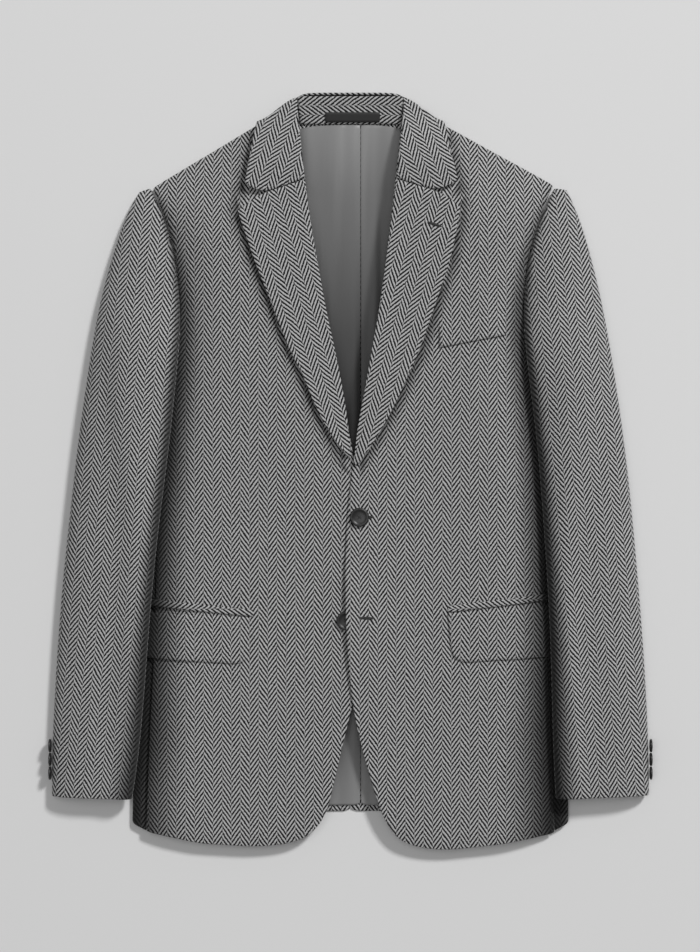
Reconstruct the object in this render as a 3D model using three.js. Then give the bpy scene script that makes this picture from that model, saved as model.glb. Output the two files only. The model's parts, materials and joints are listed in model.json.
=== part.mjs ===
// A two-button, notch-lapel sport coat laid flat on its back, front up.
// Millimetres. +X is to the right as it lies, +Y towards the collar, +Z up. The origin is on the
// surface under the middle of the coat. "left" and "right" are as seen from above.
import * as THREE from 'three';

// Cloth and clearances
const cloth = 2;              // wall of the tweed
const satin = 1;              // wall of the lining and label
const seamGap = 0.3;          // between pieces that are sewn edge to edge
const edgeInset = 2;          // of front and back inside the sleeve's seam
const restGap = 0.5;          // between layers that lie on each other

// How high the layers lie
const backTop = cloth;
const liningRise = backTop + 0.9;
const sideRise = 6;           // underside of the front beside the sleeves
const sideRound = 45;         // width over which the chest rounds down to the sleeve
const shoulderRound = 60;     // width over which the chest rounds down to the shoulder seam
const shoulderRise = backTop + seamGap;
const collarUnderBack = 2.6;  // how far the turned-down collar lifts the back at the neck

// Lengths along the coat
const backHem = -369.4;
const liningHem = -362.9;
const neckSeam = 377;
const breakPoint = 1;         // where the lapel starts to turn back
const quarterTop = -346;      // where the front edge starts to round into the hem
const underarm = 147;
const sideTop = 104;          // top of the side panel, at the foot of the armhole
const liningPleat = 11;       // the back lining's pleat lies a little right of centre

// Height of the air between the lining and the fronts
const chestRows = [
  { y: -410, rise: 8 }, { y: -250, rise: 12 }, { y: -50, rise: 16 },
  { y: 100, rise: 20 }, { y: 250, rise: 20 }, { y: 380, rise: 16 },
];

// Shoulder seams: from beside the collar out to the sleeve head
const shoulders = {
  left: { neckX: 98, neckY: 376.5, tipX: 216.5, tipY: 307 },
  right: { neckX: 98, neckY: 376.5, tipX: 222, tipY: 310 },
};

// Distance of each line from the coat's middle, going up the coat
const rollRows = [
  { y: 1, left: -3, right: 2.7 }, { y: 44, left: 1.6, right: 7 }, { y: 87, left: 8.1, right: 15.5 },
  { y: 131, left: 16.7, right: 22.9 }, { y: 174, left: 26.5, right: 30.8 }, { y: 217, left: 34, right: 36.6 },
  { y: 271, left: 43.7, right: 43.7 }, { y: 315, left: 49.5, right: 48.2 }, { y: 377, left: 55.6, right: 55.6 },
  { y: 406, left: 57.5, right: 57.5 },
];
const frontEdgeRows = [
  { y: -346, left: 19.7, right: 25.2 }, { y: -316, left: 12.5, right: 17.1 },
  { y: -288, left: 6.9, right: 8.1 }, { y: -259, left: 0.8, right: 1.8 }, { y: -215, left: -14, right: -2 },
  { y: -170, left: -18, right: -5.4 }, { y: -111, left: -18, right: -6.5 }, { y: -60, left: -18, right: -4.6 },
  { y: -20, left: -16, right: -1.5 }, { y: 1, left: -3, right: 2.7 },
];
const armholeRows = [
  { y: 147, left: 184, right: 186.5 }, { y: 163, left: 183.1, right: 187 }, { y: 185, left: 184.1, right: 186.4 },
  { y: 212, left: 187, right: 188.6 }, { y: 233, left: 190, right: 192.8 }, { y: 260, left: 195.8, right: 199.3 },
  { y: 285, left: 205.7, right: 210.2 }, { y: 307, left: 216.5, right: 220.6 },
];
const sideRows = [
  { y: -386, half: 237 }, { y: -357, half: 237.5 }, { y: -300, half: 235 }, { y: -200, half: 229 },
  { y: -90, half: 226 }, { y: 40, half: 234 }, { y: 104, half: 243 }, { y: 112, half: 227 },
  { y: 128, half: 201 }, { y: 147, half: 186 }, { y: 165, half: 184 },
];
const valleyRows = [
  { y: -354, left: 236, right: 222 }, { y: -290, left: 226.3, right: 218.5 }, { y: -182, left: 218.7, right: 216.5 },
  { y: -74, left: 209, right: 210.1 }, { y: 12, left: 198.2, right: 203.6 }, { y: 98, left: 188.5, right: 193.5 },
  ...armholeRows,
];

// Rounded quarter and hem of each front, out to the side seam
const hemRows = [
  { leftX: 19.7, leftY: -346, rightX: 25.2, rightY: -346 }, { leftX: 23.2, leftY: -361, rightX: 30.6, rightY: -363.7 },
  { leftX: 28.6, leftY: -377, rightX: 39.4, rightY: -381.7 }, { leftX: 38.3, leftY: -390, rightX: 48.1, rightY: -396.4 },
  { leftX: 52.4, leftY: -399.6, rightX: 57.8, rightY: -402.8 }, { leftX: 75, leftY: -404.6, rightX: 77, rightY: -408.4 },
  { leftX: 105, leftY: -406.2, rightX: 105, rightY: -409.9 }, { leftX: 163, leftY: -402.8, rightX: 163, rightY: -404 },
  { leftX: 220.7, leftY: -390.5, rightX: 220.7, rightY: -392.5 },
];

// Outer edges of lapel and collar leaf, going up
const lapelRows = [
  { leftX: 4.5, leftY: 17, rightX: 10.3, rightY: 8.6 }, { leftX: 22.1, leftY: 40, rightX: 26.5, rightY: 33.5 },
  { leftX: 38.3, leftY: 70.2, rightX: 47, rightY: 70.2 }, { leftX: 52.4, leftY: 106, rightX: 64, rightY: 107 },
  { leftX: 65.3, leftY: 128.5, rightX: 75.1, rightY: 131.8 }, { leftX: 86.9, leftY: 184.7, rightX: 96.7, rightY: 195.5 },
  { leftX: 104.2, leftY: 227.9, rightX: 109.6, rightY: 233.3 }, { leftX: 121.5, leftY: 279.7, rightX: 118.3, rightY: 284 },
];
const notch = {
  left: { x: 96.7, y: 298.6, leafTipX: 113.4, leafTipY: 310 },
  right: { x: 95.6, y: 301.3, leafTipX: 115, leafTipY: 313.2 },
};

// Sleeve sections from the cuff to the head: the edge beside the body, the outer edge, the height
const sleeveRows = {
  left: [
    { innerX: 236, innerY: -354.5, outerX: 323.6, outerY: -352, high: 26 },
    { innerX: 226.3, innerY: -290, outerX: 323.2, outerY: -290, high: 28 },
    { innerX: 218.7, innerY: -182, outerX: 317, outerY: -182, high: 30 },
    { innerX: 211.5, innerY: -96, outerX: 309.5, outerY: -96, high: 32 },
    { innerX: 203.6, innerY: -31, outerX: 302, outerY: -31, high: 33 },
    { innerX: 196, innerY: 26, outerX: 295.6, outerY: 28, high: 34 },
    { innerX: 189, innerY: 92, outerX: 286, outerY: 96, high: 34 },
    { innerX: 184.6, innerY: 141, outerX: 277, outerY: 153, high: 33 },
    { innerX: 183.6, innerY: 172, outerX: 270.5, outerY: 186, high: 31 },
    { innerX: 187.6, innerY: 212, outerX: 262, outerY: 219, high: 28 },
    { innerX: 194, innerY: 250, outerX: 251.3, outerY: 254, high: 24 },
    { innerX: 205.5, innerY: 283, outerX: 241.2, outerY: 282, high: 18 },
    { innerX: 217.2, innerY: 306.4, outerX: 229.5, outerY: 302.6, high: 9 },
  ],
  right: [
    { innerX: 222, innerY: -354, outerX: 323.6, outerY: -351, high: 26 },
    { innerX: 218.6, innerY: -290, outerX: 323.1, outerY: -290, high: 28 },
    { innerX: 216.5, innerY: -182, outerX: 317, outerY: -182, high: 30 },
    { innerX: 211.5, innerY: -96, outerX: 309.5, outerY: -96, high: 32 },
    { innerX: 206.9, innerY: -31, outerX: 303.6, outerY: -31, high: 33 },
    { innerX: 202.4, innerY: 26, outerX: 297, outerY: 28, high: 34 },
    { innerX: 194, innerY: 92, outerX: 287.5, outerY: 96, high: 34 },
    { innerX: 188.5, innerY: 141, outerX: 278, outerY: 153, high: 33 },
    { innerX: 187.4, innerY: 172, outerX: 271.5, outerY: 186, high: 31 },
    { innerX: 189.2, innerY: 212, outerX: 264, outerY: 219, high: 28 },
    { innerX: 197.4, innerY: 250, outerX: 254.6, outerY: 254, high: 24 },
    { innerX: 210, innerY: 283, outerX: 245, outerY: 283, high: 18 },
    { innerX: 221.4, innerY: 306.6, outerX: 234.5, outerY: 305, high: 9 },
  ],
};
const sleeveEdgeShare = 0.3;  // the sleeve's folded edges lie at this share of its height
const capStart = 141;         // between these the sleeve passes from the body's side into the armhole
const capEnd = 175;

// Hip pockets, breast welt, label, buttons
const jet = { left: { near: 104.2, far: 222, nearY: -157, farY: -145.2, high: 7 },
  right: { near: 105.3, far: 222, nearY: -152.3, farY: -138.4, high: 6.6 } };
const flap = { left: { near: 104.2, far: 222, nearY: -158, farY: -152.8, high: 50 },
  right: { near: 105, far: 222, nearY: -153.3, farY: -145.6, high: 53 } };
const flapCorner = 13;
const welt = { leftX: 96, leftY: 133, rightX: 166, rightY: 146.5, high: 24 };
const label = { left: -27.5, right: 31.9, bottom: 379, top: 390 };
const frontButton = { radius: 10.3, thick: 3.4, upperX: 9.7, upperY: -49.7, lowerX: -4.9, lowerY: -161.5 };
const cuffButton = { radius: 7.3, thick: 2.5, reach: 326.7, firstY: -297.5, pitch: 14.85, z: 11, count: 3 };

const tweed = { color: 0x646464, roughness: 0.95, metalness: 0 };
const lining = { color: 0x8c8c8c, roughness: 0.45, metalness: 0 };
const horn = { color: 0x1c1c1e, roughness: 0.4, metalness: 0 };
const ribbon = { color: 0x2c2c2e, roughness: 0.6, metalness: 0 };

const sign = { left: -1, right: 1 };
const coat = new THREE.Group();

// Value of a table's column at y, along straight lines between rows
function columnAt(rows, column, y) {
  const up = rows[0].y < rows[rows.length - 1].y;
  const sorted = up ? rows : [...rows].reverse();
  let next = sorted.findIndex((row) => row.y >= y);
  if (next < 0) return sorted[sorted.length - 1][column];
  if (next === 0) next = 1;
  const from = sorted[next - 1];
  const to = sorted[next];
  const share = THREE.MathUtils.clamp((y - from.y) / (to.y - from.y), 0, 1);
  return THREE.MathUtils.lerp(from[column], to[column], share);
}

// 0 at the edge, 1 from `width` inwards, rounded over like a pillow
function roundOver(distance, width) {
  const share = THREE.MathUtils.clamp(distance / width, 0, 1);
  return 1 - (1 - share) ** 2;
}

const nameOfSide = (x) => (x < 0 ? 'left' : 'right');

function shoulderLine(side, x) {
  const { neckX, neckY, tipX, tipY } = shoulders[side];
  return neckY + (tipY - neckY) * (x - neckX) / (tipX - neckX);
}

// Underside of the back: on the surface, lifted where the collar lies beneath it
function backUnderside(x, y) {
  const along = THREE.MathUtils.smoothstep(y, 296, 332);
  const across = 1 - THREE.MathUtils.smoothstep(Math.abs(x), 108, 150);
  return collarUnderBack * along * across;
}

// Underside of a front before one laps over the other
function frontUnderside(x, y) {
  const side = nameOfSide(x);
  const fromShoulder = 0.86 * (shoulderLine(side, Math.abs(x)) - y);
  const fromSleeve = columnAt(valleyRows, side, y) - Math.abs(x);
  const rise = columnAt(chestRows, 'rise', y);
  return shoulderRise + backUnderside(x, y) + (sideRise - shoulderRise) * roundOver(fromShoulder, 20)
    + rise * roundOver(fromShoulder, shoulderRound) * roundOver(fromSleeve, sideRound);
}

// The right front lies over the left one, and over the lower button
function lapRise(x, y) {
  const overLeft = (cloth + restGap) * (1 - THREE.MathUtils.smoothstep(x, 22, 60));
  const fromButton = Math.hypot((x - frontButton.lowerX) / 26, (y - frontButton.lowerY) / 48);
  return overLeft + (frontButton.thick + 1.4) * (1 - THREE.MathUtils.smoothstep(fromButton, 0.5, 1.2));
}

const layerHeight = {
  back: backUnderside,
  lining: (x, y) => liningRise + backUnderside(x, y),
  left: frontUnderside,
  right: (x, y) => frontUnderside(x, y) + lapRise(x, y),
};

// A point `lift` above a layer, square to it
function over(layer, x, y, lift) {
  const height = layerHeight[layer];
  const step = 1;
  const slopeX = (height(x + step, y) - height(x - step, y)) / (2 * step);
  const slopeY = (height(x, y + step) - height(x, y - step)) / (2 * step);
  const normal = new THREE.Vector3(-slopeX, -slopeY, 1).normalize();
  return new THREE.Vector3(x, y, height(x, y)).addScaledVector(normal, lift);
}

// Points spaced evenly along an outline
function outline(points) {
  const path = new THREE.CurvePath();
  for (let i = 1; i < points.length; i += 1) path.add(new THREE.LineCurve(points[i - 1], points[i]));
  return (share) => path.getPointAt(THREE.MathUtils.clamp(share, 0, 1));
}
const flatPoint = (x, y) => new THREE.Vector2(x, y);
const rowsToPoints = (rows, side, from, to) => rows
  .filter((row) => row.y >= Math.min(from, to) && row.y <= Math.max(from, to))
  .map((row) => flatPoint(sign[side] * row[side], row.y));

// A flat panel between four outlines: across the foot and head, up the near and far edges
function panel({ foot, head, near, far }) {
  const across = [outline(foot), outline(head)];
  const up = [outline(near), outline(far)];
  return (u, v) => {
    const blend = across[0](u).multiplyScalar(1 - v).addScaledVector(across[1](u), v);
    blend.addScaledVector(up[0](v), 1 - u).addScaledVector(up[1](v), u);
    blend.addScaledVector(foot[0], -(1 - u) * (1 - v)).addScaledVector(foot[foot.length - 1], -u * (1 - v));
    blend.addScaledVector(head[0], -(1 - u) * v).addScaledVector(head[head.length - 1], -u * v);
    return blend;
  };
}

// A closed wall: the surface and its copy moved out by `thick`, joined round the edges
function wall(surface, columns, rows, thick, rowShare = (share) => share) {
  const grid = [];
  for (let j = 0; j <= rows; j += 1) {
    for (let i = 0; i <= columns; i += 1) grid.push(surface(i / columns, rowShare(j / rows)));
  }
  const at = (i, j) => grid[j * (columns + 1) + i];
  const outer = grid.map((point, index) => {
    const i = index % (columns + 1);
    const j = Math.floor(index / (columns + 1));
    const alongU = at(Math.min(i + 1, columns), j).clone().sub(at(Math.max(i - 1, 0), j));
    const alongV = at(i, Math.min(j + 1, rows)).clone().sub(at(i, Math.max(j - 1, 0)));
    return point.clone().addScaledVector(alongU.cross(alongV).normalize(), thick);
  });
  const all = [...grid, ...outer];
  const count = grid.length;
  const index = [];
  const quad = (a, b, c, d) => index.push(a, b, c, a, c, d);
  const id = (i, j) => j * (columns + 1) + i;
  for (let j = 0; j < rows; j += 1) {
    for (let i = 0; i < columns; i += 1) {
      quad(id(i, j), id(i, j + 1), id(i + 1, j + 1), id(i + 1, j));
      quad(count + id(i, j), count + id(i + 1, j), count + id(i + 1, j + 1), count + id(i, j + 1));
    }
  }
  for (let i = 0; i < columns; i += 1) {
    quad(id(i, 0), id(i + 1, 0), count + id(i + 1, 0), count + id(i, 0));
    quad(id(i + 1, rows), id(i, rows), count + id(i, rows), count + id(i + 1, rows));
  }
  for (let j = 0; j < rows; j += 1) {
    quad(id(0, j + 1), id(0, j), count + id(0, j), count + id(0, j + 1));
    quad(id(columns, j), id(columns, j + 1), count + id(columns, j + 1), count + id(columns, j));
  }
  if (volumeOf(all, index) < 0) index.reverse();
  const geometry = new THREE.BufferGeometry().setFromPoints(all);
  geometry.setIndex(index);
  geometry.computeVertexNormals();
  return geometry;
}

function volumeOf(points, index) {
  let total = 0;
  for (let i = 0; i < index.length; i += 3) {
    const [a, b, c] = [points[index[i]], points[index[i + 1]], points[index[i + 2]]];
    total += a.dot(b.clone().cross(c)) / 6;
  }
  return total;
}

function addPiece(name, geometry, finish) {
  const mesh = new THREE.Mesh(geometry, new THREE.MeshStandardMaterial(finish));
  mesh.name = name;
  coat.add(mesh);
  return mesh;
}

// A panel laid on a layer, moved out by `lift`, which may grow across it
function layPiece(name, layer, edges, columns, rows, lift, finish, thick = cloth, rowShare = undefined) {
  const map = panel(edges);
  const liftAt = typeof lift === 'number' ? () => lift : lift;
  const surface = (u, v) => {
    const { x, y } = map(u, v);
    return over(layer, x, y, liftAt(u, v));
  };
  const facing = Math.sign(edges.foot[edges.foot.length - 1].x - edges.foot[0].x);
  addPiece(name, wall(surface, columns, rows, facing * thick, rowShare), finish);
}

// Rows crowd towards the neck, where the layers lift over the collar
const crowdToNeck = (share) => 1 - (1 - share) ** 1.6;

function armholeFoot(side, inset) {
  return [flatPoint(sign[side] * (227 - inset), sideTop), flatPoint(sign[side] * (210 - inset), 112),
    flatPoint(sign[side] * (194 - inset / 2), 128)];
}

// The armhole edge of front and back, just inside the sleeve's seam
const armholeEdge = (side) => rowsToPoints(armholeRows, side, underarm, 300)
  .map((point) => point.setX(point.x - sign[side] * edgeInset));

function sideSeam(side, inset, hemY) {
  const rows = sideRows.filter((row) => row.y < sideTop && row.y > hemY);
  const points = rows.map((row) => flatPoint(sign[side] * (row.half - inset), row.y));
  return [flatPoint(sign[side] * (columnAt(sideRows, 'half', hemY) - inset), hemY), ...points];
}

function addBack(side) {
  const s = sign[side];
  const { tipX, tipY } = shoulders[side];
  const middle = s * seamGap / 2;
  const far = [...sideSeam(side, 24.6, backHem), ...armholeFoot(side, 9),
    ...armholeEdge(side), flatPoint(s * (tipX - edgeInset), tipY - 1)];
  const head = [flatPoint(middle, neckSeam), flatPoint(s * 46, neckSeam + 2), flatPoint(s * 60, 391),
    flatPoint(s * 98, shoulderLine(side, 98) - 1), flatPoint(s * (tipX - edgeInset), tipY - 1)];
  const foot = [flatPoint(middle, backHem), far[0]];
  const near = [flatPoint(middle, backHem), flatPoint(middle, neckSeam)];
  layPiece(`back_${side}`, 'back', { foot, head, near, far }, 7, 11, 0, tweed, cloth, crowdToNeck);
}

function addBackLining(side) {
  const s = sign[side];
  const middle = liningPleat + s * seamGap / 2;
  const far = [...sideSeam(side, 32, liningHem), ...armholeFoot(side, 18),
    flatPoint(s * 176, 160), flatPoint(s * 180, 220), flatPoint(s * 196, 290)];
  const head = [flatPoint(middle, 375.4), flatPoint(s * 50, 375.4), flatPoint(s * 64, 370), flatPoint(s * 196, 290)];
  const foot = [flatPoint(middle, liningHem), far[0]];
  const near = [flatPoint(middle, liningHem), flatPoint(middle, 375.4)];
  layPiece(`back_lining_${side}`, 'lining', { foot, head, near, far }, 7, 11, 0, lining, satin, crowdToNeck);
}

function addFront(side) {
  const s = sign[side];
  const { tipX, tipY } = shoulders[side];
  const foot = hemRows.map((row) => flatPoint(s * row[`${side}X`], row[`${side}Y`]));
  const near = [...rowsToPoints(frontEdgeRows, side, quarterTop, breakPoint),
    ...rowsToPoints(rollRows, side, 44, neckSeam), flatPoint(s * 57, 393)];
  const far = [foot[foot.length - 1], ...sideSeam(side, 17, -386).slice(2), ...armholeFoot(side, 1),
    ...armholeEdge(side), flatPoint(s * (tipX - edgeInset), tipY)];
  const head = [flatPoint(s * 57, 393), flatPoint(s * 98, shoulderLine(side, 98)), flatPoint(s * (tipX - edgeInset), tipY)];
  layPiece(`front_${side}`, side, { foot, head, near, far }, 12, 14, 0, tweed);
}

// The side panel folds round from under the front to the edge of the back
function addSidePanel(side) {
  const s = sign[side];
  const fold = sideRise + cloth;
  const surface = (u, v) => {
    const frontY = THREE.MathUtils.lerp(-390, sideTop, v);
    const backY = THREE.MathUtils.lerp(backHem, sideTop, v);
    const y = THREE.MathUtils.lerp(frontY, backY, u);
    const half = columnAt(sideRows, 'half', y);
    const round = fold / 2;
    if (u < 0.3) return new THREE.Vector3(s * (half - 15.8 + 11.8 * u / 0.3), y, fold);
    if (u > 0.7) return new THREE.Vector3(s * (half - round - (20 - seamGap) * (u - 0.7) / 0.3), y, 0);
    const turn = Math.PI * (u - 0.3) / 0.4;
    return new THREE.Vector3(s * (half - round + round * Math.sin(turn)), y, round + round * Math.cos(turn));
  };
  addPiece(`side_panel_${side}`, wall(surface, 10, 9, side === 'left' ? cloth : -cloth), tweed);
}

function addLapel(side) {
  const s = sign[side];
  const { x, y } = notch[side];
  const outer = lapelRows.map((row) => flatPoint(s * row[`${side}X`], row[`${side}Y`]));
  const start = { left: flatPoint(-0.4, 14), right: flatPoint(4, 6) }[side];
  const near = [start, ...rowsToPoints(rollRows, side, 44, 271), flatPoint(s * 49, 314.5)];
  const head = [flatPoint(s * 49, 314.5), flatPoint(s * x, y - 0.6), outer[outer.length - 1]];
  const foot = [start, outer[0]];
  const lift = (u) => cloth + 0.8 + 3.2 * u;
  layPiece(`lapel_${side}`, side, { foot, head, near, far: outer }, 5, 14, lift, tweed);
}

function addCollarLeaf(side) {
  const s = sign[side];
  const { x, y, leafTipX, leafTipY } = notch[side];
  const foot = [flatPoint(s * 49.4, 316), flatPoint(s * x, y), flatPoint(s * leafTipX, leafTipY)];
  const near = [foot[0], flatPoint(s * 55.6, neckSeam), flatPoint(s * 57.5, 405)];
  const far = [foot[2], flatPoint(s * 106, 346), flatPoint(s * 99.5, 375)];
  const head = [near[2], flatPoint(s * 66, 402), flatPoint(s * 81, 389.5), far[2]];
  const lift = (u) => cloth + 0.8 + 2.6 * u;
  layPiece(`collar_leaf_${side}`, side, { foot, head, near, far }, 5, 8, lift, tweed);
}

// The collar behind the neck: flat under the back, then up to the fold
function addCollarNape() {
  const section = [
    { along: 0, up: 0 }, { along: 0.5, up: 0 }, { along: 0.86, up: 0 }, { along: 0.95, up: 0.1 },
    { along: 0.995, up: 0.4 }, { along: 1, up: 0.75 }, { along: 1.002, up: 1 },
  ];
  const topRows = [
    { y: 0, top: 409.4, fold: 13.4 }, { y: 50, top: 409.4, fold: 13.4 }, { y: 58, top: 405.6, fold: 4 },
    { y: 66, top: 402, fold: 0.2 }, { y: 82, top: 388.6, fold: 0.2 }, { y: 97, top: 376, fold: 0.2 },
  ];
  const stations = [-97, -82, -66, -58, -50, -25, 0, 25, 50, 58, 66, 82, 97];
  const surface = (u, v) => {
    const x = stations[Math.round(u * (stations.length - 1))];
    const { along, up } = section[Math.round(v * (section.length - 1))];
    const foot = 352 - 4 * Math.cos(x / 97 * Math.PI / 2);
    const top = columnAt(topRows, 'top', Math.abs(x));
    return new THREE.Vector3(x, foot + (top - foot) * along, columnAt(topRows, 'fold', Math.abs(x)) * up);
  };
  addPiece('collar_nape', wall(surface, stations.length - 1, section.length - 1, cloth), tweed);
}

// The stand's inner face slopes up from the neck seam to the fold
function standPoint(x, share, lift) {
  const y = THREE.MathUtils.lerp(neckSeam - 0.4, 405.9, share);
  const z = THREE.MathUtils.lerp(5.2, 11.2, share);
  const normal = new THREE.Vector3(0, -6, 30).normalize();
  return new THREE.Vector3(x, y, z).addScaledVector(normal, lift);
}

function addCollarStand() {
  const surface = (u, v) => {
    const half = THREE.MathUtils.lerp(55.1, 56.8, v);
    return standPoint(THREE.MathUtils.lerp(-half, half, u), v, 0);
  };
  addPiece('collar_stand', wall(surface, 8, 3, cloth), tweed);
}

function addNeckLabel() {
  const shareAt = (y) => (y - neckSeam) / 30;
  const surface = (u, v) => standPoint(THREE.MathUtils.lerp(label.left, label.right, u),
    THREE.MathUtils.lerp(shareAt(label.bottom), shareAt(label.top), v), cloth + seamGap);
  addPiece('neck_label', wall(surface, 4, 1, satin), ribbon);
}

// How high the underside of the sleeve lies: on the body's side, then down to the surface
function sleeveUnderside(x, y) {
  const flapShare = 1 - THREE.MathUtils.smoothstep(Math.abs(y + 176), 40, 75);
  const rest = sideRise + cloth + restGap + (cloth + restGap) * flapShare;
  const offBody = THREE.MathUtils.smoothstep(Math.abs(x) - columnAt(sideRows, 'half', Math.min(y, sideTop)), 8, 24);
  return rest * (1 - offBody) * (1 - THREE.MathUtils.smoothstep(y, capStart, capEnd));
}

// A sleeve section: `turn` goes from 0 at the body's edge to PI at the outer edge
function sleevePoint(side, share, turn, upper) {
  const rows = sleeveRows[side];
  const place = share * (rows.length - 1);
  const row = rows[Math.min(Math.floor(place), rows.length - 2)];
  const next = rows[Math.min(Math.floor(place), rows.length - 2) + 1];
  const part = place - rows.indexOf(row);
  const value = (column) => THREE.MathUtils.lerp(row[column], next[column], part);
  const across = (1 - Math.cos(turn)) / 2;
  const x = sign[side] * THREE.MathUtils.lerp(value('innerX'), value('outerX'), across);
  const y = THREE.MathUtils.lerp(value('innerY'), value('outerY'), across);
  const bulge = Math.sin(turn) ** 0.85;
  const seamDrop = 1.3 * (1 - bulge);
  const base = sleeveUnderside(x, y);
  const inArmhole = THREE.MathUtils.smoothstep(value('innerY'), capStart, capEnd);
  const edge = base + sleeveEdgeShare * value('high');
  const nearBody = turn < Math.PI / 2;
  const seamX = sign[side] * (value('innerX') - 1);
  const frontEdge = frontUnderside(seamX, value('innerY')) + cloth;
  if (upper) {
    const start = nearBody ? THREE.MathUtils.lerp(edge, frontEdge, inArmhole) : edge;
    return new THREE.Vector3(x, y, THREE.MathUtils.lerp(start, base + value('high'), bulge) + seamDrop);
  }
  const start = nearBody ? THREE.MathUtils.lerp(edge, base, inArmhole) : edge;
  return new THREE.Vector3(x, y, Math.max(0, THREE.MathUtils.lerp(start, base, bulge) - seamDrop));
}

function addSleeve(side) {
  const inward = side === 'left' ? 1 : -1;
  for (const [name, upper] of [['upper', true], ['under', false]]) {
    const surface = (u, v) => sleevePoint(side, v, Math.PI * u, upper);
    const thick = upper ? inward * cloth : -inward * cloth;
    addPiece(`sleeve_${name}_${side}`, wall(surface, 10, 12, thick), tweed);
  }
}

function addHipPocket(side) {
  const s = sign[side];
  const lift = cloth + restGap;
  const j = jet[side];
  const jetNear = [flatPoint(s * j.near, j.nearY), flatPoint(s * j.near, j.nearY + j.high)];
  const jetFar = [flatPoint(s * j.far, j.farY), flatPoint(s * j.far, j.farY + j.high)];
  layPiece(`pocket_jet_${side}`, side, { foot: [jetNear[0], jetFar[0]], head: [jetNear[1], jetFar[1]],
    near: jetNear, far: jetFar }, 12, 1, lift, tweed, 1.6);
  const f = flap[side];
  const low = f.nearY - f.high;
  const corner = [0, 1, 2, 3].map((k) => {
    const turn = Math.PI / 2 * k / 3;
    return flatPoint(s * (f.near + 4 + flapCorner * (1 - Math.cos(turn))), low + flapCorner * (1 - Math.sin(turn)));
  });
  const foot = [...corner, flatPoint(s * f.far, low + 6)];
  const near = [foot[0], flatPoint(s * f.near, f.nearY)];
  const far = [foot[foot.length - 1], flatPoint(s * f.far, f.farY - seamGap)];
  layPiece(`pocket_flap_${side}`, side, { foot, head: [near[1], far[1]], near, far }, 14, 4, lift, tweed, 1.6);
}

function addBreastWelt() {
  const { leftX, leftY, rightX, rightY, high } = welt;
  const near = [flatPoint(leftX, leftY), flatPoint(leftX, leftY + high)];
  const far = [flatPoint(rightX, rightY), flatPoint(rightX, rightY + high)];
  layPiece('breast_welt', 'right', { foot: [near[0], far[0]], head: [near[1], far[1]], near, far }, 8, 2,
    cloth + 2 * restGap, tweed, 1.4);
}

// A rimmed button turned about its own axis
function buttonGeometry(radius, thick, segments) {
  const rim = radius * 0.2;
  const profile = [[0, 0], [radius - rim, 0], [radius, thick * 0.45], [radius - rim * 0.4, thick],
    [radius - rim, thick], [radius - rim * 1.6, thick * 0.72], [0, thick * 0.72]];
  const turned = new THREE.LatheGeometry(profile.map(([r, z]) => flatPoint(r, z)), segments);
  return turned.rotateX(Math.PI / 2);
}

function addFrontButtons() {
  const { radius, thick, upperX, upperY, lowerX, lowerY } = frontButton;
  const places = [['upper', 'right', upperX, upperY], ['lower', 'left', lowerX, lowerY]];
  for (const [name, layer, x, y] of places) {
    const button = addPiece(`front_button_${name}`, buttonGeometry(radius, thick, 16), horn);
    button.position.copy(over(layer, x, y, cloth + seamGap));
  }
}

function addCuffButtons(side) {
  const { radius, thick, reach, firstY, pitch, z, count } = cuffButton;
  for (let i = 0; i < count; i += 1) {
    const button = addPiece(`cuff_button_${side}_${i + 1}`, buttonGeometry(radius, thick, 10), horn);
    button.rotation.y = sign[side] * Math.PI / 2;
    button.position.set(sign[side] * (reach - thick), firstY - i * pitch, z);
  }
}

for (const side of ['left', 'right']) {
  addBack(side);
  addBackLining(side);
  addSidePanel(side);
  addFront(side);
  addLapel(side);
  addCollarLeaf(side);
  addSleeve(side);
  addHipPocket(side);
  addCuffButtons(side);
}
addCollarNape();
addCollarStand();
addNeckLabel();
addBreastWelt();
addFrontButtons();

export default coat;
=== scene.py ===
import json
import math

import bmesh
import bpy
from mathutils import Matrix, Vector


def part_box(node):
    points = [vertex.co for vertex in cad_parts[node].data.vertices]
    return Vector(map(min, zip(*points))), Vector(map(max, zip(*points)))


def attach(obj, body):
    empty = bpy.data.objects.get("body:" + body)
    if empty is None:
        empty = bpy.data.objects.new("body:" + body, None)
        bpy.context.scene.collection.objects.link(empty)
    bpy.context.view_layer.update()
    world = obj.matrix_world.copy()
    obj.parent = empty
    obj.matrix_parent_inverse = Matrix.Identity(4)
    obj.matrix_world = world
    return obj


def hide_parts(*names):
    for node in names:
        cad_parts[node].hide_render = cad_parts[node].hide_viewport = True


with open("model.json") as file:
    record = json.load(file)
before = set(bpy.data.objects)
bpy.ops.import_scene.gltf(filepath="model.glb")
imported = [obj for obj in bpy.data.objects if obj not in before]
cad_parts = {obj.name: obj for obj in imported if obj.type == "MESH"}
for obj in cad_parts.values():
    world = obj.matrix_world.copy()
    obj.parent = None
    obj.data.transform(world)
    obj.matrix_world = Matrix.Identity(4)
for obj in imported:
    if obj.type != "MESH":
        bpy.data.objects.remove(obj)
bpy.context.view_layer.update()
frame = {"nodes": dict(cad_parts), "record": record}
print("frame loaded")


# Camera straight above the coat, and a pale floor under it
view = {"lens": 100.0, "sensor": 36.0, "field": 1.028, "x": -0.0005, "y": -0.0054, "z": 0.02}


def addCamera():
    data = bpy.data.cameras.new("topCamera")
    data.lens = view["lens"]
    data.sensor_fit = "AUTO"
    data.sensor_width = view["sensor"]
    data.clip_end = 50
    camera = bpy.data.objects.new("topCamera", data)
    distance = view["field"] * view["lens"] / view["sensor"]
    camera.location = (view["x"], view["y"], view["z"] + distance)
    bpy.context.collection.objects.link(camera)
    bpy.context.scene.camera = camera


addCamera()

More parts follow.
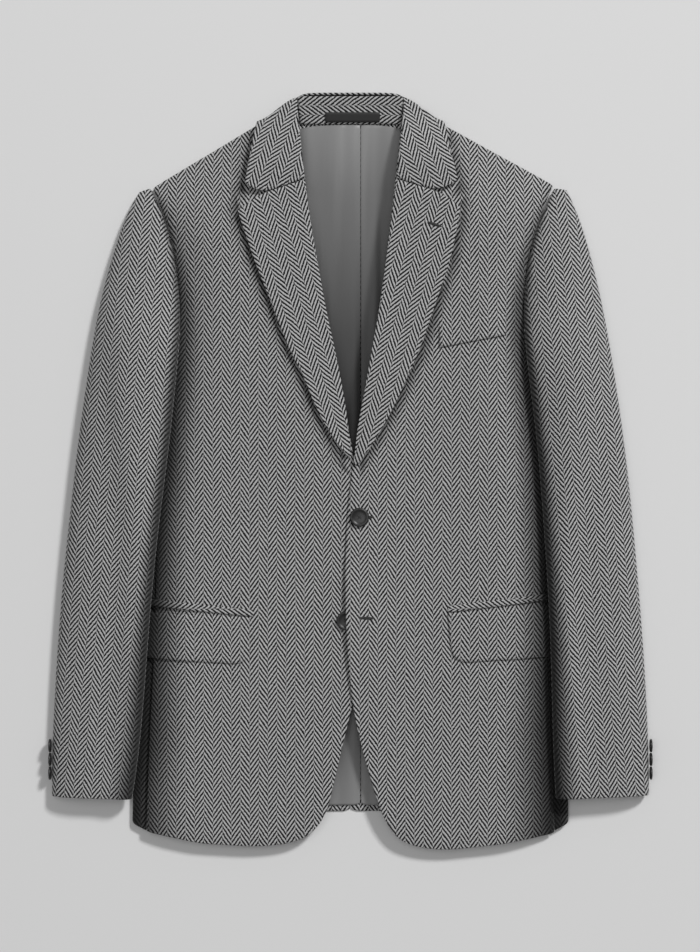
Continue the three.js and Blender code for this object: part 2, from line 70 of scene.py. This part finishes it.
lamps = {
    "key": {"at": (4.5, 5.7, 6.6), "size": 1.5, "power": 640.0},
    "fill": {"at": (-1.5, 0.9, 9.0), "size": 6.0, "power": 190.0},
}
surround = {"strength": 0.2}


def addLamps():
    for name, lamp in lamps.items():
        data = bpy.data.lights.new(name, "AREA")
        data.energy = lamp["power"]
        data.size = lamp["size"]
        item = bpy.data.objects.new(name, data)
        item.location = lamp["at"]
        item.rotation_euler = (-Vector(lamp["at"])).to_track_quat("-Z", "Y").to_euler()
        bpy.context.collection.objects.link(item)
    world = bpy.data.worlds.new("studio")
    world.use_nodes = True
    background = world.node_tree.nodes["Background"]
    background.inputs["Color"].default_value = (1, 1, 1, 1)
    background.inputs["Strength"].default_value = surround["strength"]
    bpy.context.scene.world = world


addLamps()


# Shared shader effects: each gives masks or heights only
def newGroup(name, inputs, outputs):
    group = bpy.data.node_groups.new(name, "ShaderNodeTree")
    for label, kind, value in inputs:
        socket = group.interface.new_socket(label, in_out="INPUT", socket_type=kind)
        if value is not None:
            socket.default_value = value
    for label, kind in outputs:
        group.interface.new_socket(label, in_out="OUTPUT", socket_type=kind)
    return group, group.nodes.new("NodeGroupInput"), group.nodes.new("NodeGroupOutput")


def mathNode(tree, operation, first, second=None, third=None):
    node = tree.nodes.new("ShaderNodeMath")
    node.operation = operation
    for slot, value in enumerate((first, second, third)):
        if value is None:
            continue
        if isinstance(value, (int, float)):
            node.inputs[slot].default_value = value
        else:
            tree.links.new(value, node.inputs[slot])
    return node.outputs[0]


def noiseNode(tree, vector, scale, detail=2.0):
    node = tree.nodes.new("ShaderNodeTexNoise")
    node.inputs["Scale"].default_value = scale
    node.inputs["Detail"].default_value = detail
    tree.links.new(vector, node.inputs["Vector"])
    return node.outputs["Fac"]


weave = {"column": 0.0099, "pitch": 0.006, "slope": 1.39, "wobble": 0.0008, "wobbleScale": 45.0,
         "yarn": 3.4, "yarnScale": 620.0, "contrast": 1.15, "level": 0.4}


def herringboneGroup():
    tree, start, end = newGroup("herringbone", [("Vector", "NodeSocketVector", None)],
                                [("Light", "NodeSocketFloat"), ("Height", "NodeSocketFloat")])
    vector = start.outputs["Vector"]
    split = tree.nodes.new("ShaderNodeSeparateXYZ")
    tree.links.new(vector, split.inputs[0])
    drift = mathNode(tree, "SUBTRACT", noiseNode(tree, vector, weave["wobbleScale"]), 0.5)
    across = mathNode(tree, "MULTIPLY_ADD", drift, weave["wobble"] * 2, split.outputs["X"])
    along = mathNode(tree, "MULTIPLY_ADD", drift, weave["wobble"] * 3, split.outputs["Y"])
    zigzag = mathNode(tree, "PINGPONG", across, weave["column"])
    column = mathNode(tree, "FLOOR", mathNode(tree, "DIVIDE", across, weave["column"]))
    everyOther = mathNode(tree, "PINGPONG", column, 1.0)
    broken = mathNode(tree, "MULTIPLY_ADD", everyOther, weave["pitch"] / 2, along)
    twill = mathNode(tree, "MULTIPLY_ADD", zigzag, weave["slope"], broken)
    wave = mathNode(tree, "SINE", mathNode(tree, "MULTIPLY", twill, 2 * math.pi / weave["pitch"]))
    yarn = mathNode(tree, "SUBTRACT", noiseNode(tree, vector, weave["yarnScale"], 4.0), 0.5)
    rough = mathNode(tree, "MULTIPLY_ADD", yarn, weave["yarn"], wave)
    light = mathNode(tree, "MULTIPLY_ADD", rough, weave["contrast"], weave["level"])
    clipped = mathNode(tree, "MINIMUM", mathNode(tree, "MAXIMUM", light, 0.0), 1.0)
    tree.links.new(clipped, end.inputs["Light"])
    tree.links.new(rough, end.inputs["Height"])
    return tree


herringbone = herringboneGroup()


def newMaterial(name):
    material = bpy.data.materials.new(name)
    material.use_nodes = True
    tree = material.node_tree
    return material, tree, tree.nodes["Principled BSDF"]


def mixColours(tree, factor, dark, light):
    node = tree.nodes.new("ShaderNodeMix")
    node.data_type = "RGBA"
    tree.links.new(factor, node.inputs["Factor"])
    node.inputs[6].default_value = (*dark, 1)
    node.inputs[7].default_value = (*light, 1)
    return node.outputs[2]


# Multiplies a colour by a per-point factor: painted shade, darker beside the sleeves and lapels and inside
# the neck
def applyPaintedShade(tree, colour):
    paintedShadeInput = tree.nodes.new("ShaderNodeAttribute")
    paintedShadeInput.attribute_name = "openness"
    node = tree.nodes.new("ShaderNodeMix")
    node.data_type = "RGBA"
    node.blend_type = "MULTIPLY"
    node.inputs["Factor"].default_value = 1.0
    tree.links.new(colour, node.inputs[6])
    tree.links.new(paintedShadeInput.outputs["Fac"], node.inputs[7])
    return node.outputs[2]


def bumpNode(tree, height, strength, distance, shader):
    node = tree.nodes.new("ShaderNodeBump")
    node.inputs["Strength"].default_value = strength
    node.inputs["Distance"].default_value = distance
    tree.links.new(height, node.inputs["Height"])
    tree.links.new(node.outputs["Normal"], shader.inputs["Normal"])


tweedLook = {"dark": (0.004, 0.004, 0.005), "light": (0.5, 0.5, 0.5), "roughness": 0.95, "specular": 0.15,
             "sheen": 0.12, "sheenRoughness": 0.6, "bump": 0.5, "bumpHeight": 0.0004}
# Satin dark and light are a shaded and a lit tone of one lining colour: painted shade and highlight along the
# fold lines
satinLook = {"dark": (0.12, 0.12, 0.12), "light": (0.36, 0.36, 0.36), "roughness": 0.42, "sheen": 0.2,
             "foldScale": 42.0, "foldStretch": 0.09, "bump": 0.6, "bumpHeight": 0.006}
darkLook = {"low": 0.6, "high": 1.5, "bump": 0.15, "bumpHeight": 0.0003}


def makeTweed():
    material, tree, shader = newMaterial("greyTweed")
    uv = tree.nodes.new("ShaderNodeUVMap")
    uv.uv_map = "weave"
    cloth = tree.nodes.new("ShaderNodeGroup")
    cloth.node_tree = herringbone
    tree.links.new(uv.outputs[0], cloth.inputs[0])
    colour = mixColours(tree, cloth.outputs["Light"], tweedLook["dark"], tweedLook["light"])
    # The tweed colour is darkened here by the painted shade
    tree.links.new(applyPaintedShade(tree, colour), shader.inputs["Base Color"])
    shader.inputs["Roughness"].default_value = tweedLook["roughness"]
    shader.inputs["Specular IOR Level"].default_value = tweedLook["specular"]
    shader.inputs["Sheen Weight"].default_value = tweedLook["sheen"]
    shader.inputs["Sheen Roughness"].default_value = tweedLook["sheenRoughness"]
    bumpNode(tree, cloth.outputs["Height"], tweedLook["bump"], tweedLook["bumpHeight"], shader)
    return material


def makeSatin():
    material, tree, shader = newMaterial("greySatin")
    place = tree.nodes.new("ShaderNodeTexCoord").outputs["Object"]
    stretch = tree.nodes.new("ShaderNodeMapping")
    stretch.inputs["Scale"].default_value = (1, satinLook["foldStretch"], 1)
    tree.links.new(place, stretch.inputs[0])
    # This noise paints shade and highlight into the satin colour along the fold lines, and also bumps the
    # surface
    foldBumpAndShade = noiseNode(tree, stretch.outputs[0], satinLook["foldScale"], 1.5)
    colour = mixColours(tree, foldBumpAndShade, satinLook["dark"], satinLook["light"])
    # The satin colour is also darkened here by the painted shade
    tree.links.new(applyPaintedShade(tree, colour), shader.inputs["Base Color"])
    shader.inputs["Roughness"].default_value = satinLook["roughness"]
    shader.inputs["Sheen Weight"].default_value = satinLook["sheen"]
    bumpNode(tree, foldBumpAndShade, satinLook["bump"], satinLook["bumpHeight"], shader)
    return material


def makeDark(name, tone, roughness, grain):
    material, tree, shader = newMaterial(name)
    place = tree.nodes.new("ShaderNodeTexCoord").outputs["Object"]
    marks = noiseNode(tree, place, grain)
    colour = mixColours(tree, marks, (darkLook["low"] * tone,) * 3, (darkLook["high"] * tone,) * 3)
    tree.links.new(colour, shader.inputs["Base Color"])
    shader.inputs["Roughness"].default_value = roughness
    bumpNode(tree, marks, darkLook["bump"], darkLook["bumpHeight"], shader)
    return material


finishes = {
    "tweed": makeTweed(),
    "lining": makeSatin(),
    "label": makeDark("blackRibbon", 0.012, 0.6, 1800.0),
    "button": makeDark("blackHorn", 0.014, 0.35, 260.0),
    "thread": makeDark("darkThread", 0.03, 0.9, 2500.0),
}
print("materials made")

# How each piece's weave is turned, in degrees, its cut's size in metres, and its share of that rectangle
cuts = {
    "back": {"turn": 0, "flat": (0.222, 0.76), "share": 0.89},
    "front": {"turn": 0, "flat": (0.245, 0.805), "share": 0.79},
    "side_panel": {"turn": 0, "flat": (0.044, 0.495), "share": 0.95},
    "lapel": {"turn": -16.5, "flat": (0.122, 0.31), "share": 0.42},
    "collar_leaf": {"turn": 22, "flat": (0.066, 0.105), "share": 0.73},
    "sleeve_upper": {"turn": 5, "flat": (0.145, 0.665), "share": 0.74},
    "sleeve_under": {"turn": 5, "flat": (0.125, 0.665), "share": 0.76},
    "back_lining": {"turn": 0, "flat": (0.217, 0.74), "share": 0.87},
    "pocket_jet": {"turn": 90, "flat": (0.118, 0.0125), "share": 0.68},
    "pocket_flap": {"turn": 0, "flat": (0.12, 0.056), "share": 0.95},
    "breast_welt": {"turn": 0, "flat": (0.073, 0.0265), "share": 0.98},
    "collar_nape": {"turn": 90, "flat": (0.194, 0.074), "share": 0.83},
    "collar_stand": {"turn": 90, "flat": (0.116, 0.032), "share": 0.98},
    "neck_label": {"turn": 0, "flat": (0.06, 0.0115), "share": 1.0},
}
rests = {
    "back": "collar_nape", "front": "back", "side_panel": "back", "lapel": "front", "collar_leaf": "front",
    "sleeve_upper": "sleeve_under", "sleeve_under": "side_panel", "back_lining": "back",
    "pocket_jet": "front", "pocket_flap": "front", "breast_welt": "front_right", "neck_label": "collar_stand",
}
softness = {"levels": 2, "rimAngle": 0.9, "crease": 0.9, "weld": 0.00002, "joinAngle": 0.6, "joinShape": 1.6}


def smoothCopy(nodeName, pieceName):
    source = frame["nodes"][nodeName]
    form = bmesh.new()
    form.from_mesh(source.data)
    form.transform(source.matrix_world)
    bmesh.ops.remove_doubles(form, verts=form.verts, dist=softness["weld"])
    bmesh.ops.join_triangles(form, faces=form.faces, angle_face_threshold=softness["joinAngle"],
                             angle_shape_threshold=softness["joinShape"])
    crease = form.edges.layers.float.new("crease_edge")
    for edge in form.edges:
        if edge.calc_face_angle(0.0) > softness["rimAngle"]:
            edge[crease] = softness["crease"]
    mesh = bpy.data.meshes.new(pieceName)
    form.to_mesh(mesh)
    form.free()
    piece = bpy.data.objects.new(pieceName, mesh)
    bpy.context.collection.objects.link(piece)
    mesh.polygons.foreach_set("use_smooth", [True] * len(mesh.polygons))
    subdivide = piece.modifiers.new("soften", "SUBSURF")
    subdivide.levels = softness["levels"]
    subdivide.render_levels = softness["levels"]
    bpy.context.view_layer.update()
    graph = bpy.context.evaluated_depsgraph_get()
    fine = bpy.data.meshes.new_from_object(piece.evaluated_get(graph))
    piece.modifiers.clear()
    piece.data = fine
    return piece


# Painted shade, darkening the colour, places in metres: beside the sleeves, beside the lapels, inside the
# neck, from the hem up
valleyShade = {"y": (-0.354, -0.29, -0.182, -0.074, 0.012, 0.098, 0.147, 0.185, 0.233, 0.285, 0.307),
          "left": (0.236, 0.2263, 0.2187, 0.209, 0.1982, 0.1885, 0.184, 0.1841, 0.19, 0.2057, 0.2165),
          "right": (0.222, 0.2185, 0.2165, 0.2101, 0.2036, 0.1935, 0.1865, 0.1864, 0.1928, 0.2102, 0.2206),
          "dark": (0.03, 0.03, 0.04, 0.05, 0.07, 0.1, 0.18, 0.25, 0.35, 0.55, 0.7),
          "reach": (0.064, 0.06, 0.046, 0.036, 0.032, 0.03, 0.026, 0.022, 0.016, 0.012, 0.008)}
lapelEdge = {"y": (0.009, 0.035, 0.07, 0.107, 0.13, 0.19, 0.23, 0.28, 0.312, 0.376),
             "left": (0.004, 0.02, 0.0383, 0.0524, 0.0653, 0.089, 0.1045, 0.1215, 0.1134, 0.1),
             "right": (0.0103, 0.027, 0.047, 0.064, 0.0751, 0.095, 0.1088, 0.1183, 0.115, 0.1)}
# Painted shade in the lining: the share of colour kept, from the hem up to the neck
neck = {"y": (-0.36, -0.3, 0.05, 0.09, 0.15, 0.22, 0.3, 0.377),
        "open": (0.95, 0.6, 0.03, 0.05, 0.15, 0.34, 0.6, 0.95)}
shade = {"sleeveReach": 0.45, "lapelTop": 0.37, "lapelReach": 0.014, "lapelDark": 0.2,
         "neckFoot": 0.3, "neckHalf": 0.062, "neckSides": 0.45}


def alongRows(rows, column, y):
    marks = rows["y"]
    for low, high, first, last in zip(marks, marks[1:], rows[column], rows[column][1:]):
        if y <= high:
            share = max(0.0, (y - low) / (high - low))
            return first + (last - first) * share
    return rows[column][-1]


# Painted shade factor at a point: 1 keeps the colour, lower values darken it as shade in the hollows would
def paintedShadeAt(kind, place):
    side = "left" if place.x < 0 else "right"
    across = abs(place.x)
    value = 1.0
    if kind in ("front", "sleeve_upper", "side_panel", "pocket_flap", "pocket_jet"):
        beyond = across - alongRows(valleyShade, side, place.y)
        reach = alongRows(valleyShade, "reach", place.y)
        if kind == "sleeve_upper":
            reach = reach * shade["sleeveReach"]
        if kind in ("front", "pocket_flap", "pocket_jet") and beyond > 0:
            beyond = 0.0
        share = min(1.0, abs(beyond) / reach)
        dark = alongRows(valleyShade, "dark", place.y)
        value = dark + (1 - dark) * share * share * (3 - 2 * share)
    if kind == "front" and 0 < place.y < shade["lapelTop"]:
        past = across - alongRows(lapelEdge, side, place.y)
        if 0 < past < shade["lapelReach"]:
            value *= shade["lapelDark"] + (1 - shade["lapelDark"]) * past / shade["lapelReach"]
    # Painted shade in the lining, darkest low in the neck opening and at its sides
    if kind == "back_lining":
        inNeck = place.y > shade["neckFoot"]
        sides = max(0.0, 1 - (across / shade["neckHalf"]) ** 4) if inNeck else 1.0
        value = alongRows(neck, "open", place.y) * (1 - shade["neckSides"] * (1 - sides))
    return value


# Stores the painted shade factor on every point of a piece
def paintShade(piece, kind):
    layer = piece.data.attributes.new("openness", "FLOAT", "POINT")
    for index, vertex in enumerate(piece.data.vertices):
        layer.data[index].value = paintedShadeAt(kind, vertex.co)


def layWeave(piece, degrees):
    turn = math.radians(degrees)
    uvs = piece.data.uv_layers.new(name="weave")
    for loop in piece.data.loops:
        place = piece.data.vertices[loop.vertex_index].co
        across = place.x * math.cos(turn) + place.y * math.sin(turn)
        along = place.y * math.cos(turn) - place.x * math.sin(turn)
        uvs.data[loop.index].uv = (across, along)


def finishPiece(piece, nodeName, slotName):
    piece.data.materials.append(finishes[slotName])
    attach(piece, "root")
    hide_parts(nodeName)


def kindOf(nodeName):
    return nodeName.replace("_left", "").replace("_right", "")


slots = {row["node"]: row["material_slot"] for row in frame["record"]["subparts"]}
clothPieces = {}


def addCloth():
    for nodeName in sorted(frame["nodes"]):
        if "button" in nodeName:
            continue
        cut = cuts[kindOf(nodeName)]
        piece = smoothCopy(nodeName, nodeName + "_cloth")
        mirror = -1 if nodeName.endswith("_left") else 1
        layWeave(piece, cut["turn"] * mirror)
        # Paint the shade into this piece's colour
        paintShade(piece, kindOf(nodeName))
        finishPiece(piece, nodeName, slots[nodeName])
        clothPieces[nodeName] = piece


def declareCloth():
    for nodeName, piece in clothPieces.items():
        kind = kindOf(nodeName)
        under = rests.get(kind)
        if under and under not in clothPieces:
            under += nodeName[len(kind):]


addCloth()
declareCloth()
print("cloth laid")

# Buttons: a rimmed disc with a dished middle, crossed by two stitches of thread
buttonForm = {"rim": 0.17, "dish": 0.62, "segments": 48}
stitch = {"long": 0.3, "wide": 0.06, "high": 0.16, "lift": 0.04}


def buttonMesh(name, radius, thick):
    form = bmesh.new()
    half = thick / 2
    rim = radius * buttonForm["rim"]
    profile = [(0, 0), (radius - rim, 0), (radius - rim * 0.3, half * 0.3), (radius, half),
               (radius - rim * 0.25, thick * 0.92), (radius - rim, thick), (radius - rim * 1.7, thick * 0.8),
               (radius * 0.5, thick * buttonForm["dish"]), (0, thick * buttonForm["dish"])]
    verts = [form.verts.new((r, 0, z)) for r, z in profile]
    edges = [form.edges.new(pair) for pair in zip(verts, verts[1:])]
    bmesh.ops.spin(form, geom=verts + edges, cent=(0, 0, 0), axis=(0, 0, 1), angle=2 * math.pi,
                   steps=buttonForm["segments"], use_merge=True)
    bmesh.ops.remove_doubles(form, verts=form.verts, dist=1e-6)
    bmesh.ops.recalc_face_normals(form, faces=form.faces)
    mesh = bpy.data.meshes.new(name)
    form.to_mesh(mesh)
    form.free()
    mesh.polygons.foreach_set("use_smooth", [True] * len(mesh.polygons))
    return mesh


def threadMesh(name, radius, thick):
    form = bmesh.new()
    for turn in (math.pi / 4, -math.pi / 4):
        made = bmesh.ops.create_uvsphere(form, u_segments=16, v_segments=8, radius=1)
        size = (radius * stitch["long"], radius * stitch["wide"], thick * stitch["high"])
        bmesh.ops.scale(form, verts=made["verts"], vec=size)
        bmesh.ops.rotate(form, verts=made["verts"], cent=(0, 0, 0), matrix=Matrix.Rotation(turn, 3, "Z"))
        height = thick * (buttonForm["dish"] + stitch["lift"])
        bmesh.ops.translate(form, verts=made["verts"], vec=(0, 0, height))
    mesh = bpy.data.meshes.new(name)
    form.to_mesh(mesh)
    form.free()
    return mesh


def addButton(nodeName):
    low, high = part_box(nodeName)
    size = [b - a for a, b in zip(low, high)]
    middle = [(a + b) / 2 for a, b in zip(low, high)]
    onCuff = "cuff" in nodeName
    radius = size[1] / 2
    thick = size[0] if onCuff else size[2]
    side = 1 if middle[0] > 0 else -1
    for name, mesh, slotName in ((nodeName + "_horn", buttonMesh(nodeName, radius, thick), "button"),
                                 (nodeName + "_thread", threadMesh(nodeName, radius, thick), "thread")):
        form = bmesh.new()
        form.from_mesh(mesh)
        if onCuff:
            turn = Matrix.Rotation(side * math.pi / 2, 3, "Y")
            bmesh.ops.rotate(form, verts=form.verts, cent=(0, 0, 0), matrix=turn)
            start = (low[0] if side > 0 else high[0], middle[1], middle[2])
        else:
            start = (middle[0], middle[1], low[2])
        bmesh.ops.translate(form, verts=form.verts, vec=start)
        form.to_mesh(mesh)
        form.free()
        piece = bpy.data.objects.new(name, mesh)
        bpy.context.collection.objects.link(piece)
        mesh.materials.append(finishes[slotName])
        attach(piece, "root")
        if slotName == "button":
            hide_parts(nodeName)


for nodeName in sorted(frame["nodes"]):
    if "button" in nodeName:
        addButton(nodeName)
print("buttons sewn on")


# Worked buttonholes: a raised row of thread on the lapel and below the waist
buttonholes = {
    "lapelButtonhole": {"x": 0.0907, "y": 0.2651, "long": 0.017, "turn": -18.4, "on": "lapel_right"},
    "lowerButtonhole": {"x": 0.0152, "y": -0.1585, "long": 0.021, "turn": -1.5, "on": "front_right"},
    "upperButtonhole": {"x": 0.0185, "y": -0.0497, "long": 0.014, "turn": 0, "on": "front_right"},
}
holeThread = {"wide": 0.0032, "high": 0.0016, "lift": 0.0002}


def surfaceHeight(piece, x, y):
    return piece.ray_cast(Vector((x, y, 1)), Vector((0, 0, -1)))[1].z


def addButtonhole(name, hole):
    form = bmesh.new()
    bmesh.ops.create_uvsphere(form, u_segments=24, v_segments=10, radius=0.5)
    bmesh.ops.scale(form, verts=form.verts, vec=(hole["long"], holeThread["wide"], holeThread["high"]))
    bmesh.ops.rotate(form, verts=form.verts, cent=(0, 0, 0),
                     matrix=Matrix.Rotation(math.radians(hole["turn"]), 3, "Z"))
    height = surfaceHeight(clothPieces[hole["on"]], hole["x"], hole["y"])
    bmesh.ops.translate(form, verts=form.verts, vec=(hole["x"], hole["y"], height + holeThread["lift"]))
    mesh = bpy.data.meshes.new(name)
    form.to_mesh(mesh)
    form.free()
    mesh.materials.append(finishes["thread"])
    piece = bpy.data.objects.new(name, mesh)
    bpy.context.collection.objects.link(piece)
    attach(piece, "root")


bpy.context.view_layer.update()
for name, hole in buttonholes.items():
    addButtonhole(name, hole)
print("buttonholes worked")


floorLook = {"tone": 0.755, "roughness": 0.9, "specular": 0.1, "half": 6, "z": -0.0003}


def addFloor():
    form = bmesh.new()
    bmesh.ops.create_grid(form, x_segments=1, y_segments=1, size=floorLook["half"])
    mesh = bpy.data.meshes.new("floor")
    form.to_mesh(mesh)
    form.free()
    floor = bpy.data.objects.new("floor", mesh)
    floor.location.z = floorLook["z"]
    bpy.context.collection.objects.link(floor)
    material, tree, shader = newMaterial("paleFloor")
    shader.inputs["Base Color"].default_value = (*(floorLook["tone"],) * 3, 1)
    shader.inputs["Roughness"].default_value = floorLook["roughness"]
    shader.inputs["Specular IOR Level"].default_value = floorLook["specular"]
    mesh.materials.append(material)


addFloor()
bpy.context.scene.view_settings.view_transform = "Standard"
